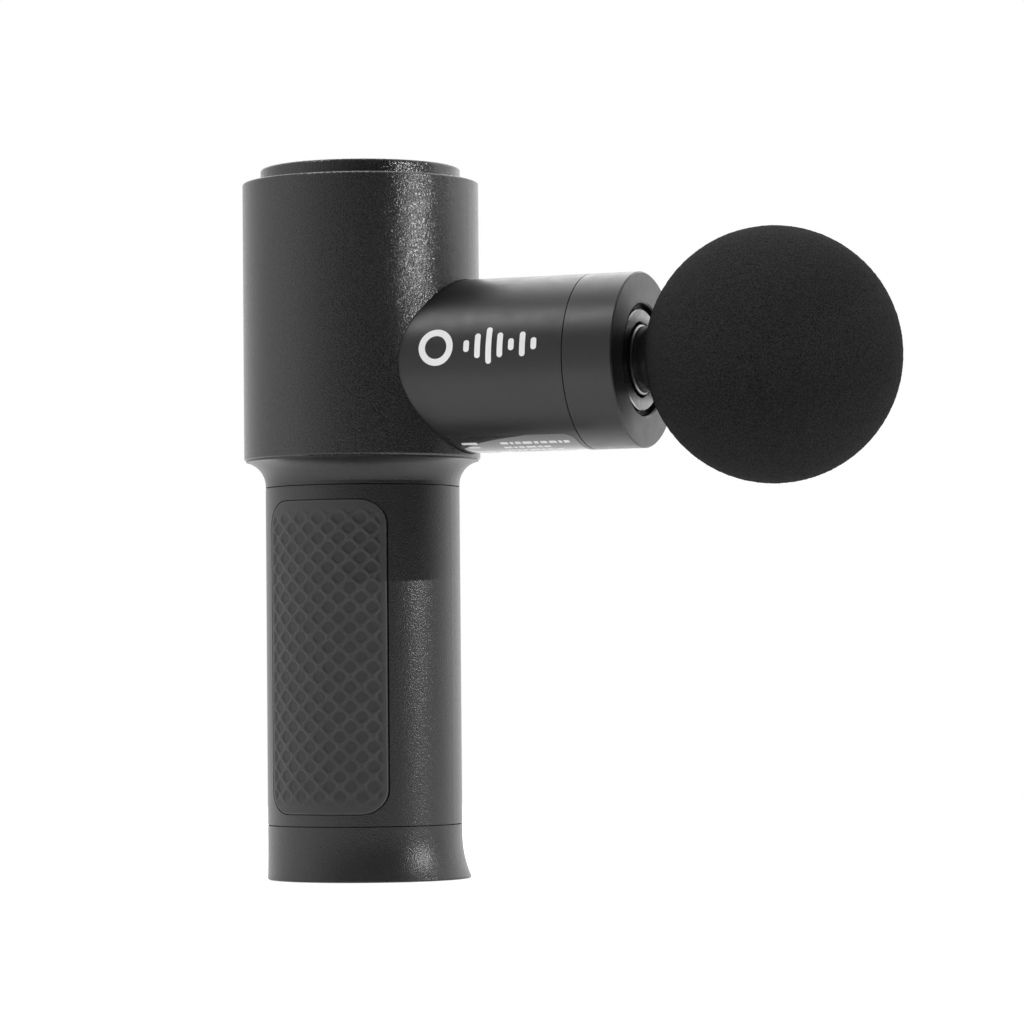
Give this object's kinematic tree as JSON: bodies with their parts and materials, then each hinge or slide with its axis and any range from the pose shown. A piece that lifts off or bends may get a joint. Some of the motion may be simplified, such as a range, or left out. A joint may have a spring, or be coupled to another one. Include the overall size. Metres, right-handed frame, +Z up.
{
  "type": "massage gun",
  "caption": "Cordless T-shaped massage gun: a foam ball head on a reciprocating shaft in a short barrel, set across an upright motor drum on a slim round handle.",
  "frame": {"origin": "centre of the handle's axis on the flat underside of the base", "axes": "+Z up along the handle and the motor's axis, +X along the barrel towards the ball, +Y to the gun's left side"},
  "size_m": [0.1728, 0.063, 0.1799],
  "materials": {
    "drum_shell": "fine powder texture",
    "handle_shell": "fine powder texture",
    "lid_metal": "satin anodised black",
    "smoked_lens": "polished",
    "key_plastic": "satin",
    "grip_rubber": "moulded, pitted",
    "barrel_metal": "satin anodised black",
    "label_film": "satin film",
    "seal_rubber": "matte",
    "bush_polymer": "satin",
    "bush_bronze": "satin",
    "turned_plate": "turned, dark anodised",
    "cast_metal": "as cast",
    "rod_metal": "machined",
    "shaft_metal": "ground, hard anodised",
    "steel": "machined",
    "bearing_steel": "polished",
    "screw_steel": "black oxide",
    "laminations": "stacked sheet",
    "winding": "enamelled copper wire",
    "motor_can": "zinc plated",
    "magnet": "nickel plated",
    "stem_plastic": "satin",
    "foam": "closed-cell foam, fine grain",
    "circuit_board": "solder mask",
    "switch_black": "satin",
    "cell_wrap": "shrink wrap over steel cans",
    "holder_plastic": "satin",
    "nickel": "strip",
    "port_steel": "stamped",
    "lead_black": "silicone insulation",
    "lead_red": "silicone insulation"
  },
  "bodies": {
    "gun_body": {"motor_housing": "drum_shell", "top_cap": "lid_metal", "display_lens": "smoked_lens", "neck_collar": "handle_shell", "handle_shell": "handle_shell", "base_cap": "handle_shell", "grip_pad_right": "grip_rubber", "grip_pad_left": "grip_rubber", "barrel_tube": "barrel_metal", "front_collar": "barrel_metal", "underside_label": "label_film", "guide_bush": "bush_polymer", "wiper_seal": "seal_rubber", "mouth_plate": "turned_plate", "drive_frame": "cast_metal", "stator_core": "laminations", "stator_coils": "winding", "motor_bearings": "bearing_steel", "control_board": "circuit_board", "display_module": "switch_black", "button_switches": "switch_black", "board_screws": "screw_steel", "battery_cells": "cell_wrap", "lower_cell_holder": "holder_plastic", "upper_cell_holder": "holder_plastic", "cell_links": "nickel", "battery_board": "circuit_board", "charge_board": "circuit_board", "charge_port": "port_steel", "power_switch": "switch_black", "charge_board_screws": "screw_steel", "phase_leads": "lead_black", "battery_leads": "lead_red", "frame_screws": "screw_steel", "base_screws": "screw_steel"},
    "rotor": {"motor_axle": "steel", "rotor_can": "motor_can", "rotor_magnets": "magnet", "bearing_inner_rings": "bearing_steel", "crank": "steel", "crank_grub_screw": "screw_steel"},
    "piston": {"piston_shaft": "shaft_metal", "wrist_pin": "steel", "socket_damper": "seal_rubber"},
    "rod": {"connecting_rod": "rod_metal", "big_end_bearing": "bearing_steel", "wrist_bush": "bush_bronze", "crank_pin": "steel"},
    "head": {"attachment_stem": "stem_plastic", "stem_o_rings": "seal_rubber", "foam_ball": "foam"},
    "power_button": {"power_button": "key_plastic"},
    "speed_up_button": {"speed_up_button": "key_plastic"},
    "speed_down_button": {"speed_down_button": "key_plastic"},
    "power_slider": {"power_slider": "key_plastic"}
  },
  "joints": [
    {"name": "rotor_spin", "type": "hinge", "parent": "gun_body", "child": "rotor", "pos_m": [0, 0, 0.15], "axis": [0, 0, 1], "continuous": true},
    {"name": "piston_stroke", "type": "slide", "parent": "gun_body", "child": "piston", "axis": [1, 0, 0], "range_m": [0, 0.01]},
    {"name": "rod_swing", "type": "hinge", "parent": "piston", "child": "rod", "pos_m": [0.033, 0, 0.1286], "axis": [0, 0, 1], "range_deg": [-7.5, 7.5]},
    {"name": "head_pull_off", "type": "slide", "parent": "piston", "child": "head", "axis": [1, 0, 0], "range_m": [0, 0.025]},
    {"name": "power_button_press", "type": "slide", "parent": "gun_body", "child": "power_button", "axis": [0, 0, -1], "range_m": [0, 0.0005], "stiffness_N_per_m": 2500, "springref_m": -0.0002},
    {"name": "speed_up_button_press", "type": "slide", "parent": "gun_body", "child": "speed_up_button", "axis": [0, 0, -1], "range_m": [0, 0.0005], "stiffness_N_per_m": 2500, "springref_m": -0.0002},
    {"name": "speed_down_button_press", "type": "slide", "parent": "gun_body", "child": "speed_down_button", "axis": [0, 0, -1], "range_m": [0, 0.0005], "stiffness_N_per_m": 2500, "springref_m": -0.0002},
    {"name": "power_slider_slide", "type": "slide", "parent": "gun_body", "child": "power_slider", "axis": [0, 1, 0], "range_m": [0, 0.003]}
  ]
}
